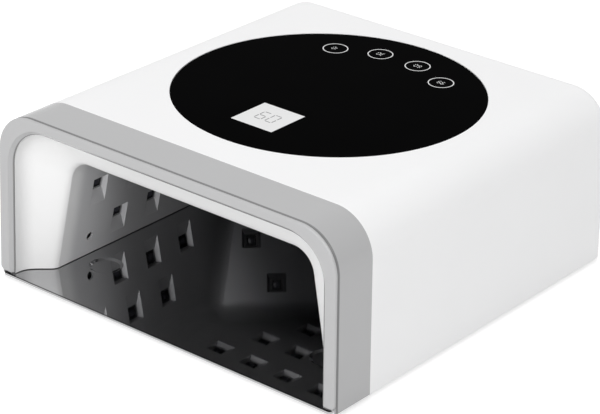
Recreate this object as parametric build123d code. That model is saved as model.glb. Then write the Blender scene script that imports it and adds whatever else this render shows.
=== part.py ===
from build123d import *
import math
import os

os.makedirs("parts", exist_ok=True)

# Nail curing lamp: a tunnel-shaped housing with an open front that drops over a loose steel base plate.
# While it is modelled, y = 0 is the seam behind the bezel's front ring and z = 0 is the underside of the
# base plate. place() then moves every piece to the part's own frame, with the origin on the table under
# the middle. +X is to the right, +Y to the back and +Z up. All lengths are in millimetres.

# ---- driving dimensions: outer body -------------------------------------------------------------
top_width = 221.0            # across the flat sides at the height of the top face
side_draft = 0.0209          # each side leans out by this much per millimetre downwards
body_depth = 229.4           # bezel seam to back face
body_top = 94.3              # top face above the underside of the base plate
skirt_bottom = 0.2           # lowest edge of band and housing, which hide the sides of the plate
body_lift = 0.5              # gap between the base plate and the pieces inside the skirt
corner_radius = 22.5         # long top edges of the tunnel
back_radius = 5.0            # edges round the back face
shell_wall = 2.2             # housing and band wall

# ---- driving dimensions: bezel ------------------------------------------------------------------
band_share = 0.115           # grey band, as a share of the depth
band_edge_radius = 1.1       # front outer edge of the band
ring_seat_wall = 1.4         # band wall beside the ring's rim
groove_width = 0.5           # open seam between the ring's face and the band
ring_front = 1.2             # the ring's face stands this far in front of the seam
ring_back = 1.2              # and its inner edge reaches this far behind it
ring_bevel = 2.2             # 45 degree bevel round the opening
ring_liner_gap = 0.4         # open line between the ring and the liner
ring_lift = 1.0              # gap under the feet of the ring
ring_rim_depth = 5.2         # seam to the back of the rim that plugs into the band
ring_rim_wall = 1.6
ring_edge_radius = 1.1       # outer edge of the ring's face
ring_foot_radius = 3.0       # outer lower corners of the ring
ring_side_width = 6.4        # ring's face across each side, up to the bevel
ring_top_width = 5.0         # ring's face across the top, up to the bevel
mouth_radius = 22.5          # inner corners of the ring
tongue_depth = 5.0           # lip of the band that reaches into the housing
tongue_wall = 1.4
fit_gap = 0.15               # clearance between parts that slot into each other

# ---- driving dimensions: base plate -------------------------------------------------------------
plate_thickness = 1.2
plate_gap = 0.3              # between the plate's edge and the skirt round it
plate_lip = 1.4              # how far the plate shows in front of the bezel
plate_corner_radius = 1.5
dimple_radius = 9.2
dimple_drop = 0.8            # pressed depth of each foot dimple
dimple_slope = 1.6           # width of the sloped ring round a dimple's floor
dimple_inset = 35.2          # dimple's middle from the side of the top
dimple_y = 40.0
foot_radius = 6.5
foot_thickness = 1.2

# ---- driving dimensions: reflector liner --------------------------------------------------------
liner_wall = 1.4
liner_gap = 0.45             # liner's bottom edge above the plate
flare_depth = 19.4           # splayed mouth, front to back
flare_power = 1.5            # above 1 keeps the mouth wide for longer before it narrows
flare_sections = 7
chamber_side_room = 18.8     # from the chamber's side, at the plate, to the side of the top
chamber_lean = 0.2           # side walls lean in by this much per millimetre upwards
ceiling_room = 26.3          # from the ceiling to the top face, for boards and controls
corner_length = 44.4         # slanted rear corners at the plate, front to back
corner_lean = 0.64           # y + |x| along them shrinks by this much per millimetre upwards
chamber_back_room = 26.2     # from the rear wall, at the plate, to the back face
back_lean = 0.30
chamber_radius = 13.0        # rounded inner edges of the chamber
flange_gap = 0.3             # round the liner's flat rim, inside the rim of the ring
hole_radius = 2.3            # sight holes of the hand sensor
hole_y = 42.5
hole_z = 13.0

# ---- driving dimensions: light pockets ----------------------------------------------------------
pocket_length = 18.0
ceiling_pocket_length = 13.5
pocket_width = 11.5
pocket_depth = 2.4
pocket_wall = 1.0
window_size = 7.8            # square opening round each diode
diode_size = 5.6
diode_height = 1.0
diode_shift = 4.5            # diode from the middle of its pocket, along the pocket
board_thickness = 1.6
pocket_pitch = 26.6          # along the side walls
lower_first_y = 64.4
lower_z = 20.0
upper_first_y = 44.4
upper_z = 44.8
side_columns = 3
ceiling_side_room = 62.5     # outermost ceiling pocket to the side of the top
ceiling_back_room = 75.8     # last row of the ceiling to the back face
ceiling_first_y = 80.1
ceiling_counts = (4, 5, 4, 3)
corner_low_z = 29.4
corner_high_room = 15.4      # upper corner diode below the ceiling
corner_first = 11.7          # first diode from the foot of the side wall, along the slanted corner
corner_pitch = 13.9
sensor_radius = 1.2
sensor_depth = 1.7           # tip of the sensor behind the chamber wall

# ---- driving dimensions: glass, display and touch controls --------------------------------------
glass_side_room = 27.7       # glass edge to the side of the top
glass_shift = 2.3            # middle of the glass, behind the middle of the housing
glass_gap = 0.25             # round the glass
glass_thickness = 1.8
glass_sink = 0.1             # glass top below the housing top
adhesive_thickness = 0.2
adhesive_width = 6.0
adhesive_inset = 1.0
glass_edge = 0.3
seat_thickness = 2.0         # floor under the glass
touch_inset = 21.5           # touch keys from the edge of the glass
touch_step = 23.7            # degrees between touch keys
touch_count = 4
display_width = 30.0         # opening for the digits, in the seat under the glass
display_length = 16.0
display_gap = 0.4
pad_radius = 4.0             # conductive foam pads under the touch keys
pad_gap = 1.0
control_side_room = 62.5     # control board's edge to the side of the top
control_before = 26.2        # front edge of the board, before the middle of the glass
control_back_inset = 13.0    # back edge of the board, inside the edge of the glass
control_drop = 9.0           # board top below the housing top
post_radius = 3.0
post_inset = 5.0             # board screws in from the board's edges
buzzer_radius = 5.5
buzzer_height = 4.5
chip_size = (9.0, 9.0, 1.4)
coil_size = (10.0, 10.0, 5.0)
buzzer_inset = 20.0          # buzzer, drivers and coil from the side of the board
driver_inset = 26.0
coil_inset = 15.0
buzzer_behind = 19.8         # buzzer behind the middle of the glass
chips_behind = 18.0          # chips behind the front edge of the board
coil_before = 25.0           # coil before the back edge of the board

# ---- driving dimensions: base frame, fasteners, magnets and inlet -------------------------------
frame_thickness = 2.0
frame_gap = 0.3
boss_radius = 3.4
boss_inset = 9.0             # boss axis in from the housing's side at the bottom
boss_first_y = 44.0
boss_back_room = 12.4        # last screw boss to the back face
boss_glass_offset = 2.2      # middle boss, before the middle of the glass
screw_radius = 1.3
screw_head_radius = 2.6
screw_head_height = 1.4
screw_length = 9.0
screw_clearance = 0.15
recess_width = 0.7           # cross recess of every screw
recess_depth = 0.7
recess_share = 1.3           # reach of the cross recess, as a share of the head's radius
small_screw_radius = 1.0
small_head_radius = 1.9
small_head_height = 1.2
small_screw_grip = 2.2       # how deep the small screws go
pillar_radius = 2.4          # pillars on the liner that carry the light boards
pillar_skin = 1.0            # wall left between a pillar's bore and the chamber
pillar_offset = 3.0
pillar_columns = 2           # ceiling pillars stand this many pocket steps out
magnet_radius = 4.0
magnet_first_y = 66.0
magnet_back_room = 39.4      # rear magnets to the back face
jack_inset = 44.5            # power socket from the side of the top
jack_z = 20.0
jack_radius = 5.5            # nose of the socket, flush with the back face
jack_flange_radius = 7.5
jack_flange_thickness = 1.5
jack_length = 14.0
jack_bore_radius = 2.85
jack_bore_depth = 9.5
jack_pin_radius = 1.05
jack_tab_size = (1.0, 3.5, 3.0)
lead_radius = 1.0
lead_bend = 9.0
connector_size = (8.0, 6.0, 4.5)
ceiling_plug_height = 3.5
lead_side_step = 1.6         # connector on a side board, before its last diode
lead_side_up = 31.0
lead_corner_up = 18.0
lead_ceiling_rows = 2.5      # connector of the ceiling board, in rows of diodes
jack_tab_offset = 3.0
inlet_plug_before = 15.0     # inlet plug on the board, before its back edge
inlet_lead_gap = 3.0         # between the two leads of the inlet

# ---- sizes that follow -------------------------------------------------------------------------
inner_bottom = plate_thickness + body_lift
liner_bottom = plate_thickness + liner_gap
stand_height = dimple_drop + foot_thickness
middle_y = (body_depth - plate_lip) / 2
band_depth = body_depth * band_share
mouth_half_width = top_width / 2 - ring_side_width - ring_bevel
mouth_top = body_top - ring_top_width - ring_bevel
ring_bottom = plate_thickness + ring_lift
rim_inset = ring_seat_wall + fit_gap
rim_core_inset = rim_inset + ring_rim_wall
flange_width = body_top - rim_core_inset - flange_gap - mouth_top
flare_start = ring_back + ring_liner_gap
flare_end = flare_start + flare_depth
chamber_half_width = top_width / 2 - chamber_side_room
chamber_top = body_top - ceiling_room
chamber_back = body_depth - chamber_back_room
chamber_reach = chamber_half_width + chamber_back - corner_length
corner_high_z = chamber_top - corner_high_room
ceiling_pitch_x = 2 * (top_width / 2 - ceiling_side_room) / (max(ceiling_counts) - 1)
ceiling_pitch_y = (body_depth - ceiling_back_room - ceiling_first_y) / (len(ceiling_counts) - 1)
glass_radius = top_width / 2 - glass_side_room
glass_y = (band_depth + body_depth) / 2 + glass_shift
touch_radius = glass_radius - touch_inset
control_half_width = top_width / 2 - control_side_room
control_front = glass_y - control_before
control_back = glass_y + glass_radius - control_back_inset
dimple_x = top_width / 2 - dimple_inset
jack_x = top_width / 2 - jack_inset
glass_top = body_top - glass_sink
glass_bottom = glass_top - glass_thickness
seat_z = glass_bottom - adhesive_thickness
board_depth = pocket_depth + diode_height
bottom_half_width = top_width / 2 + side_draft * (body_top - skirt_bottom)
plate_half_width = bottom_half_width - shell_wall - plate_gap
plate_back = body_depth - shell_wall - plate_gap
frame_top = inner_bottom + frame_thickness
boss_x = bottom_half_width - boss_inset
control_top = body_top - control_drop
control_bottom = control_top - board_thickness
extra = 1.0                  # how far a cutting tool runs past what it cuts

pieces = {}


def add(name, *solids):
    """Files the solids of one node."""
    pieces[name] = list(solids)


def place(solid):
    """From the modelling origin to the part's own frame."""
    return Pos(0, -middle_y, stand_height) * solid


def half_width(z, inset=0.0):
    """Half the body's width at a height, with the sides moved in by inset."""
    return top_width / 2 + side_draft * (body_top - z) - inset


def arch(y, bottom, top, half_bottom, half_top, radius):
    """Face of a tunnel section that stands at y: straight sides, flat top, round upper corners."""
    outline = Polygon((-half_bottom, bottom), (half_bottom, bottom), (half_top, top), (-half_top, top),
                      align=None)
    outline = fillet(outline.vertices().group_by(Axis.Y)[-1], radius)
    return Plane.XZ.offset(-y) * outline


def tunnel(y0, y1, bottom, inset, radius):
    """Solid of the body's own section, moved in by inset, from y0 to y1."""
    top = body_top - inset
    face = arch(y0, bottom, top, half_width(bottom, inset), half_width(top, inset), radius)
    return extrude(face, amount=-(y1 - y0))


def mouth_face(y, bottom, grow):
    """Face of the bezel's opening at y, widened by grow."""
    spread = side_draft * (mouth_top - bottom)
    return arch(y, bottom, mouth_top + grow, mouth_half_width + spread + grow, mouth_half_width + grow,
                mouth_radius + grow)


def mouth(y0, y1, bottom, grow=0.0):
    """Solid of the bezel's opening, widened by grow, from y0 to y1."""
    return extrude(mouth_face(y0, bottom, grow), amount=-(y1 - y0))


def cylinder_z(x, y, z0, z1, radius):
    """Upright cylinder."""
    return Pos(x, y, (z0 + z1) / 2) * Cylinder(radius, z1 - z0)


def box_between(low, high):
    """Box from its lowest to its highest corner."""
    size = [b - a for a, b in zip(low, high)]
    middle = [(a + b) / 2 for a, b in zip(low, high)]
    return Pos(*middle) * Box(*size)


# ---- base plate and its feet -------------------------------------------------------------------
dimple_back_y = plate_back - plate_lip - dimple_y
foot_places = [(x, y) for x in (-dimple_x, dimple_x) for y in (dimple_y, dimple_back_y)]


def make_base_plate():
    """Thin polished sheet with four round dimples pressed down for the feet."""
    plate = box_between((-plate_half_width, -plate_lip, 0), (plate_half_width, plate_back, plate_thickness))
    plate = fillet(plate.edges().filter_by(Axis.Z), plate_corner_radius)
    for x, y in foot_places:
        floor_radius = dimple_radius - dimple_slope
        slope = math.hypot(dimple_slope, dimple_drop)
        wall = plate_thickness * (slope - dimple_drop) / dimple_slope
        under = Pos(x, y, -dimple_drop / 2) * Cone(floor_radius + wall, dimple_radius + wall, dimple_drop)
        hollow_z = plate_thickness - dimple_drop / 2
        hollow = Pos(x, y, hollow_z) * Cone(floor_radius, dimple_radius, dimple_drop)
        plate = plate + under - hollow
    return plate


add("base_plate", make_base_plate())
add("plate_feet", *[cylinder_z(x, y, -stand_height, -dimple_drop, foot_radius) for x, y in foot_places])


# ---- housing shell ------------------------------------------------------------------------------
boss_rows = (boss_first_y, glass_y - boss_glass_offset, body_depth - boss_back_room)
boss_places = [(side * boss_x, y) for side in (-1, 1) for y in boss_rows]
post_places = [(side * (control_half_width - post_inset), y) for side in (-1, 1)
               for y in (control_front + post_inset, control_back - post_inset)]
touch_angles = [(i - (touch_count - 1) / 2) * touch_step for i in range(touch_count)]
touch_places = [(touch_radius * math.sin(math.radians(t)), glass_y + touch_radius * math.cos(math.radians(t)))
                for t in touch_angles]


def housing_back_edges(solid):
    """Edges round the back face, without the one along the bottom."""
    return [e for e in solid.edges() if e.center().Y > body_depth - 0.01 and e.center().Z > skirt_bottom + 0.01]


def make_housing():
    """White tunnel with a closed back, a round seat for the glass and screw bosses."""
    outer = tunnel(band_depth, body_depth, skirt_bottom, 0, corner_radius)
    outer = fillet(housing_back_edges(outer), back_radius)
    inner = tunnel(band_depth - extra, body_depth - shell_wall, skirt_bottom - extra, shell_wall,
                   corner_radius - shell_wall)
    shell = outer - inner
    floor_low = seat_z - seat_thickness
    shell += cylinder_z(0, glass_y, floor_low, body_top - shell_wall / 2, glass_radius + glass_gap + shell_wall)
    shell -= cylinder_z(0, glass_y, seat_z, body_top + extra, glass_radius + glass_gap)
    for x, y in touch_places:
        shell -= cylinder_z(x, y, floor_low - extra, seat_z + extra, pad_radius + pad_gap)
    window = (display_width / 2 + display_gap, display_length / 2 + display_gap)
    shell -= box_between((-window[0], glass_y - window[1], floor_low - extra),
                         (window[0], glass_y + window[1], seat_z + extra))
    for x, y in post_places:
        shell += cylinder_z(x, y, control_top, floor_low + seat_thickness / 2, post_radius)
        shell -= cylinder_z(x, y, control_top - extra, control_top + small_screw_grip, small_screw_radius)
    roof = body_top - shell_wall / 2
    for x, y in boss_places:
        boss = cylinder_z(x, y, frame_top, roof, boss_radius)
        rib = box_between((min(x, math.copysign(bottom_half_width, x)), y - shell_wall / 2, frame_top),
                          (max(x, math.copysign(bottom_half_width, x)), y + shell_wall / 2, roof))
        shell += (boss + rib) & outer
        shell -= cylinder_z(x, y, frame_top - extra, frame_top + screw_length, screw_radius)
    hole = Pos(jack_x, body_depth - shell_wall / 2, jack_z) * Rot(90, 0, 0) * Cylinder(
        jack_radius + fit_gap, shell_wall + 2 * extra)
    return shell - hole


add("housing_shell", make_housing())


# ---- bezel: band and front ring -----------------------------------------------------------------
def front_edges(solid, y):
    """Edges of a front face at y, without the one along the skirt."""
    return [e for e in solid.edges() if abs(e.center().Y - y) < 0.01 and e.center().Z > skirt_bottom + 0.5]


def make_band():
    """Grey arch between the ring and the housing, with a lip that reaches into the housing."""
    outer = tunnel(groove_width, band_depth, skirt_bottom, 0, corner_radius)
    outer = fillet(front_edges(outer, groove_width), band_edge_radius)
    low = skirt_bottom - extra
    hollow = tunnel(-extra, band_depth + extra, low, shell_wall, corner_radius - shell_wall)
    seat = tunnel(-extra, ring_rim_depth, low, ring_seat_wall, corner_radius - ring_seat_wall)
    tongue_in = shell_wall + fit_gap
    tongue_start = band_depth - tongue_depth
    tongue = tunnel(tongue_start, band_depth + tongue_depth, skirt_bottom, tongue_in, corner_radius - tongue_in)
    tongue_core = tongue_in + tongue_wall
    tongue -= tunnel(tongue_start - extra, band_depth + tongue_depth + extra, low, tongue_core,
                     corner_radius - tongue_core)
    step = tunnel(tongue_start, band_depth, skirt_bottom, shell_wall - fit_gap, corner_radius - shell_wall)
    step -= tunnel(tongue_start - extra, band_depth + extra, low, tongue_in, corner_radius - tongue_in)
    tongue -= box_between((-bottom_half_width, band_depth, low),
                          (bottom_half_width, band_depth + tongue_depth + extra, frame_top + frame_gap))
    plate_room = box_between((-plate_half_width - plate_gap, -extra, low),
                             (plate_half_width + plate_gap, band_depth + tongue_depth + extra, inner_bottom))
    return outer - hollow - seat + (step + tongue - plate_room)


def make_ring():
    """Front frame round the opening: a bevelled face as wide as the band, on a rim that plugs into it."""
    low = ring_bottom - extra
    face = tunnel(-ring_front, 0, ring_bottom, 0, corner_radius)
    feet = [e for e in face.edges().filter_by(Axis.Y) if e.center().Z < ring_bottom + 0.01]
    face = fillet(feet, ring_foot_radius)
    face = fillet(front_edges(face, -ring_front), ring_edge_radius)
    neck = tunnel(-ring_front / 2, ring_back, ring_bottom, rim_inset, corner_radius - rim_inset)
    rim = tunnel(ring_back - extra / 2, ring_rim_depth, ring_bottom, rim_inset, corner_radius - rim_inset)
    rim -= tunnel(0, ring_rim_depth + extra, low, rim_core_inset, corner_radius - rim_core_inset)
    bevel = loft([mouth_face(-ring_front - extra, low, ring_bevel + extra),
                  mouth_face(-ring_front + ring_bevel, low, 0)])
    return face + neck - mouth(-ring_front - extra, ring_back + extra, low) - bevel + rim


add("bezel_band", make_band())
add("bezel_ring", make_ring())


# ---- reflector liner: flared mouth, leaning chamber and light pockets ---------------------------
def chamber_half(z):
    """Half width between the side walls at height z."""
    return chamber_half_width - chamber_lean * (z - plate_thickness)


def chamber_outline(z, grow):
    """Corners of the chamber at height z in plan, from the front left round the back."""
    side = chamber_half(z) + grow
    back = chamber_back - back_lean * (z - plate_thickness) + grow
    reach = chamber_reach - corner_lean * (z - plate_thickness) + grow * math.sqrt(2)
    half = [(side, flare_end), (side, reach - side), (reach - back, back)]
    return [(-x, y) for x, y in half] + [(x, y) for x, y in reversed(half)]


def chamber(grow):
    """Solid of the chamber, its walls moved out by grow."""
    low = liner_bottom - extra
    high = chamber_top + grow
    floor = Plane.XY.offset(low) * Polygon(*chamber_outline(low, grow), align=None)
    roof = Plane.XY.offset(high) * Polygon(*chamber_outline(high, grow), align=None)
    solid = Solid.make_loft([floor.wires()[0], roof.wires()[0]], True)
    inner = [e for e in solid.edges() if e.center().Z > low + 0.01 and e.center().Y > flare_end + 0.01]
    return fillet(inner, chamber_radius + grow)


def smooth(t):
    """Blend from 0 to 1 with flat ends."""
    return t * t * (3 - 2 * t)


def flare(grow):
    """Solid of the splayed mouth, its walls moved out by grow."""
    low = liner_bottom - extra
    end_top = chamber_top + grow
    faces = []
    for i in range(flare_sections):
        u = i / (flare_sections - 1)
        b = smooth(u ** flare_power)
        top = (mouth_top + grow) * (1 - b) + end_top * b
        start_low = mouth_half_width + side_draft * (mouth_top - low) + grow
        start_high = mouth_half_width + grow
        half_low = start_low * (1 - b) + (chamber_half(low) + grow) * b
        half_high = start_high * (1 - b) + (chamber_half(end_top) + grow) * b
        radius = (mouth_radius + grow) * (1 - b) + (chamber_radius + grow) * b
        faces.append(arch(flare_start + u * flare_depth, low, top, half_low, half_high, radius))
    return loft(faces)


class Wall:
    """A flat wall of the chamber: a point on it, its two directions and the way out of the chamber."""

    def __init__(self, origin, along, up):
        self.along = Vector(*along).normalized()
        up = Vector(*up)
        up = up - self.along * up.dot(self.along)
        self.up = up.normalized()
        self.out = self.along.cross(self.up)
        middle = Vector(0, glass_y, 0)
        if (Vector(*origin) - middle).dot(self.out) < 0:
            self.out = self.out * -1
        self.origin = Vector(*origin)

    def plane(self, a, b, depth=0.0):
        """Plane parallel to the wall at distances a along and b up, pushed out by depth."""
        point = self.origin + self.along * a + self.up * b + self.out * depth
        return Plane(origin=point, x_dir=self.along, z_dir=self.out)


def side_wall(side):
    """Left (-1) or right (+1) wall; along runs to the back and up is the slope of the wall."""
    foot = (side * chamber_half_width, 0, plate_thickness)
    return Wall(foot, (0, 1, 0), (-side * chamber_lean, 0, 1))


def corner_wall(side):
    """Slanted rear corner; along starts where it meets the side wall at the plate."""
    foot = (side * chamber_half_width, chamber_reach - chamber_half_width, plate_thickness)
    root = math.sqrt(2)
    return Wall(foot, (-side / root, 1 / root, 0), (-side * corner_lean / 2, -corner_lean / 2, 1))


ceiling_wall = Wall((0, 0, chamber_top), (-1, 0, 0), (0, 1, 0))
side_slope = math.hypot(1, chamber_lean)
corner_slope = math.hypot(1, corner_lean / math.sqrt(2))


def side_spots():
    """Diode places on a side wall: (along, up)."""
    spots = []
    for column in range(side_columns):
        step = column * pocket_pitch
        spots.append((upper_first_y + step, (upper_z - plate_thickness) * side_slope))
        spots.append((lower_first_y + step, (lower_z - plate_thickness) * side_slope))
    return spots


def corner_spots():
    """Diode places on a slanted corner: low, high, low."""
    spots = []
    for i, z in enumerate((corner_low_z, corner_high_z, corner_low_z)):
        spots.append((corner_first + i * corner_pitch, (z - plate_thickness) * corner_slope))
    return spots


def ceiling_spots():
    """Diode places on the ceiling, in staggered rows."""
    spots = []
    for row, count in enumerate(ceiling_counts):
        for i in range(count):
            x = (i - (count - 1) / 2) * ceiling_pitch_x
            spots.append((-x + diode_shift, ceiling_first_y + row * ceiling_pitch_y))
    return spots


def side_pillars():
    """Board pillars on a side wall, in the two free corners of the staggered rows."""
    low = (upper_first_y + pillar_offset, (lower_z + pillar_offset - plate_thickness) * side_slope)
    last = lower_first_y + (side_columns - 1) * pocket_pitch
    return [low, (last, (upper_z - plate_thickness) * side_slope)]


def corner_pillars():
    """Board pillars on a slanted corner, beside the high diode."""
    up = (corner_high_z - plate_thickness) * corner_slope
    return [(corner_first, up), (corner_first + 2 * corner_pitch, up)]


def ceiling_pillars():
    """Board pillars on the ceiling, between the rows."""
    rows = [ceiling_first_y + (row + 0.5) * ceiling_pitch_y for row in (0, len(ceiling_counts) - 2)]
    return [(side * pillar_columns * ceiling_pitch_x, y) for y in rows for side in (-1, 1)]


# each bank: wall, diode spots, which way the long side of a pocket lies, pocket length, board pillars
banks = {
    "left": (side_wall(-1), side_spots(), "up", pocket_length, side_pillars()),
    "right": (side_wall(1), side_spots(), "up", pocket_length, side_pillars()),
    "left_corner": (corner_wall(-1), corner_spots(), "up", pocket_width, corner_pillars()),
    "right_corner": (corner_wall(1), corner_spots(), "up", pocket_width, corner_pillars()),
    "ceiling": (ceiling_wall, ceiling_spots(), "along", ceiling_pocket_length, ceiling_pillars()),
}


def pocket_solid(wall, spot, lie, length, grow):
    """Tapered pocket from its opening on the wall to the diode window, widened by grow."""
    a, b = spot
    shift = diode_shift * (length - window_size) / (pocket_length - window_size)
    size = (pocket_width, length) if lie == "up" else (length, pocket_width)
    offset = (0, -shift) if lie == "up" else (-shift, 0)
    reach = board_depth if grow else pocket_depth
    start = -extra / 2 if not grow else 0
    mouth_plane = wall.plane(a + offset[0], b + offset[1], start)
    window_plane = wall.plane(a, b, reach)
    mouth_face = mouth_plane * Rectangle(size[0] + 2 * grow, size[1] + 2 * grow)
    window_face = window_plane * Rectangle(window_size + 2 * grow, window_size + 2 * grow)
    solid = Solid.make_loft([mouth_face.wires()[0], window_face.wires()[0]], True)
    if not grow:
        shaft = wall.plane(a, b, reach - extra / 2) * Rectangle(window_size, window_size)
        solid = solid + extrude(shaft, amount=board_depth - reach + extra)
    return solid


def bank_corners(spots, lie, length):
    """Lowest and highest (along, up) of a board that covers a bank of pockets."""
    reach_a = (length if lie == "along" else pocket_width) / 2
    reach_b = (length if lie == "up" else pocket_width) / 2
    low = (min(a for a, b in spots) - reach_a, min(b for a, b in spots) - reach_b)
    high = (max(a for a, b in spots) + reach_a, max(b for a, b in spots) + reach_b)
    return low, high


def make_liner():
    """One moulding: rim, flared mouth and metallised chamber with a pocket for every diode."""
    outer = flare(liner_wall) + chamber(liner_wall)
    rim = mouth(flare_start, flare_start + liner_wall, liner_bottom, flange_width)
    body = outer + rim
    hollow = flare(0) + chamber(0)
    hollow += mouth(flare_start - extra, flare_start + 0.01, liner_bottom - extra)
    pockets = []
    for wall, spots, lie, length, pillars in banks.values():
        for spot in spots:
            body += pocket_solid(wall, spot, lie, length, pocket_wall)
            pockets.append(pocket_solid(wall, spot, lie, length, 0))
        for a, b in pillars:
            body += extrude(wall.plane(a, b) * Circle(pillar_radius), amount=board_depth)
            screw_hole = wall.plane(a, b, pillar_skin) * Circle(small_screw_radius)
            pockets.append(extrude(screw_hole, amount=board_depth))
    for side in (-1, 1):
        wall = side_wall(side)
        hole_plane = wall.plane(hole_y, (hole_z - plate_thickness) * side_slope, -extra)
        pockets.append(extrude(hole_plane * Circle(hole_radius), amount=board_depth + extra))
    below = box_between((-bottom_half_width, 0, -body_top), (bottom_half_width, body_depth, liner_bottom))
    return body - hollow - pockets - below


add("reflector_liner", make_liner())


# ---- light boards and diodes --------------------------------------------------------------------
def board_shape(wall, spots, lie, length, pillars):
    """Circuit board that lies on the backs of a bank's pockets, with a hole at each pillar."""
    low, high = bank_corners(spots, lie, length)
    centre = ((low[0] + high[0]) / 2, (low[1] + high[1]) / 2)
    plane = wall.plane(centre[0], centre[1], board_depth)
    board = extrude(plane * Rectangle(high[0] - low[0], high[1] - low[1]), amount=board_thickness)
    for a, b in pillars:
        hole = wall.plane(a, b, board_depth - extra) * Circle(small_screw_radius + screw_clearance)
        board -= extrude(hole, amount=board_thickness + 2 * extra)
    return board


def diode(wall, spot):
    """Square diode package on its board, looking into the chamber."""
    plane = wall.plane(spot[0], spot[1], pocket_depth)
    return extrude(plane * Rectangle(diode_size, diode_size), amount=diode_height)


def screw(plane, shank_radius, head_radius, head_height, length):
    """Pan-head screw: its head stands on the plane, its shank runs back along the plane's normal."""
    body = extrude(plane * Circle(head_radius), amount=head_height)
    body += extrude(plane * Circle(shank_radius), amount=-length)
    top = plane.offset(head_height)
    reach = head_radius * recess_share
    cross = top * Rectangle(reach, recess_width) + top * Rectangle(recess_width, reach)
    return body - extrude(cross, amount=-recess_depth)


def small_screw(plane):
    """Screw through a circuit board, on the board's far face."""
    return screw(plane, small_screw_radius, small_head_radius, small_head_height,
                 board_thickness + small_screw_grip)


board_screws = []
for bank, (wall, spots, lie, length, pillars) in banks.items():
    add(bank + "_led_board", board_shape(wall, spots, lie, length, pillars))
    add(bank + "_leds", *[diode(wall, spot) for spot in spots])
    board_screws += [small_screw(wall.plane(a, b, board_depth + board_thickness)) for a, b in pillars]
add("led_board_screws", *board_screws)


# ---- hand sensor --------------------------------------------------------------------------------
def sensor(side):
    """Round infrared package that stands on the side board behind its sight hole."""
    wall = side_wall(side)
    up = (hole_z - plate_thickness) * side_slope
    body = extrude(wall.plane(hole_y, up, sensor_depth + sensor_radius) * Circle(sensor_radius),
                   amount=board_depth - sensor_depth - sensor_radius)
    tip = wall.plane(hole_y, up, sensor_depth + sensor_radius)
    return body + (tip.location * Sphere(sensor_radius) - tip.location * Pos(0, 0, sensor_radius) * Box(
        4 * sensor_radius, 4 * sensor_radius, 2 * sensor_radius))


add("ir_emitter", sensor(-1))
add("ir_receiver", sensor(1))

# ---- glass, its adhesive and the electronics below it -------------------------------------------
glass = cylinder_z(0, glass_y, glass_bottom, glass_top, glass_radius)
glass = chamfer(glass.edges().group_by(Axis.Z)[-1], glass_edge)
add("top_glass", glass)
adhesive_radius = glass_radius - adhesive_inset
add("glass_adhesive", cylinder_z(0, glass_y, seat_z, glass_bottom, adhesive_radius)
    - cylinder_z(0, glass_y, seat_z - extra, glass_bottom + extra, adhesive_radius - adhesive_width))


def make_control_board():
    """Circuit board for the timer, display and touch keys, with a hole at each post."""
    board = box_between((-control_half_width, control_front, control_bottom),
                        (control_half_width, control_back, control_top))
    for x, y in post_places:
        board -= cylinder_z(x, y, control_bottom - extra, control_top + extra,
                            small_screw_radius + screw_clearance)
    return board


def on_board(x, y, size):
    """Box-shaped component on the underside of the control board."""
    return box_between((x - size[0] / 2, y - size[1] / 2, control_bottom - size[2]),
                       (x + size[0] / 2, y + size[1] / 2, control_bottom))


add("control_board", make_control_board())
board_underside = [Plane(origin=(x, y, control_bottom), x_dir=(1, 0, 0), z_dir=(0, 0, -1))
                   for x, y in post_places]
add("control_board_screws", *[small_screw(plane) for plane in board_underside])
display_top = glass_bottom - display_gap
add("display_module", box_between((-display_width / 2, glass_y - display_length / 2, control_top),
                                  (display_width / 2, glass_y + display_length / 2, display_top)))
add("touch_pads", *[cylinder_z(x, y, control_top, glass_bottom, pad_radius) for x, y in touch_places])
buzzer_place = (buzzer_inset - control_half_width, glass_y + buzzer_behind)
driver_x = control_half_width - driver_inset
chip_y = control_front + chips_behind
add("buzzer", cylinder_z(*buzzer_place, control_bottom - buzzer_height, control_bottom, buzzer_radius)
    - cylinder_z(*buzzer_place, control_bottom - buzzer_height - extra,
                 control_bottom - buzzer_height + recess_depth, recess_width))
add("timer_chip", on_board(0, chip_y, chip_size))
add("led_driver", on_board(driver_x, chip_y, chip_size), on_board(-driver_x, chip_y, chip_size))
add("power_coil", on_board(control_half_width - coil_inset, control_back - coil_before, coil_size))


# ---- closing frame, its screws and the magnets --------------------------------------------------
def make_bottom_frame():
    """Flat frame that closes the space between liner and housing, seen from below."""
    inset = shell_wall + frame_gap
    front_inset = shell_wall + fit_gap + tongue_wall + frame_gap
    rear = tunnel(band_depth + frame_gap, body_depth - inset, skirt_bottom, inset, corner_radius - inset)
    front = tunnel(ring_rim_depth + frame_gap, band_depth + extra, skirt_bottom, front_inset,
                   corner_radius - front_inset)
    slab = box_between((-bottom_half_width, 0, inner_bottom), (bottom_half_width, body_depth, frame_top))
    frame = (rear + front) & slab
    frame -= flare(liner_wall + frame_gap) + chamber(liner_wall + frame_gap)
    frame -= [pocket_solid(wall, spot, lie, length, pocket_wall + frame_gap)
              for wall, spots, lie, length, pillars in banks.values() for spot in spots]
    for x, y in boss_places:
        frame -= cylinder_z(x, y, inner_bottom - extra, frame_top + extra, screw_radius + screw_clearance)
        frame -= cylinder_z(x, y, inner_bottom - extra, inner_bottom + screw_head_height,
                            screw_head_radius + screw_clearance)
    for x, y in magnet_places:
        frame -= cylinder_z(x, y, inner_bottom - extra, frame_top + extra, magnet_radius + fit_gap)
    return frame


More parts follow.
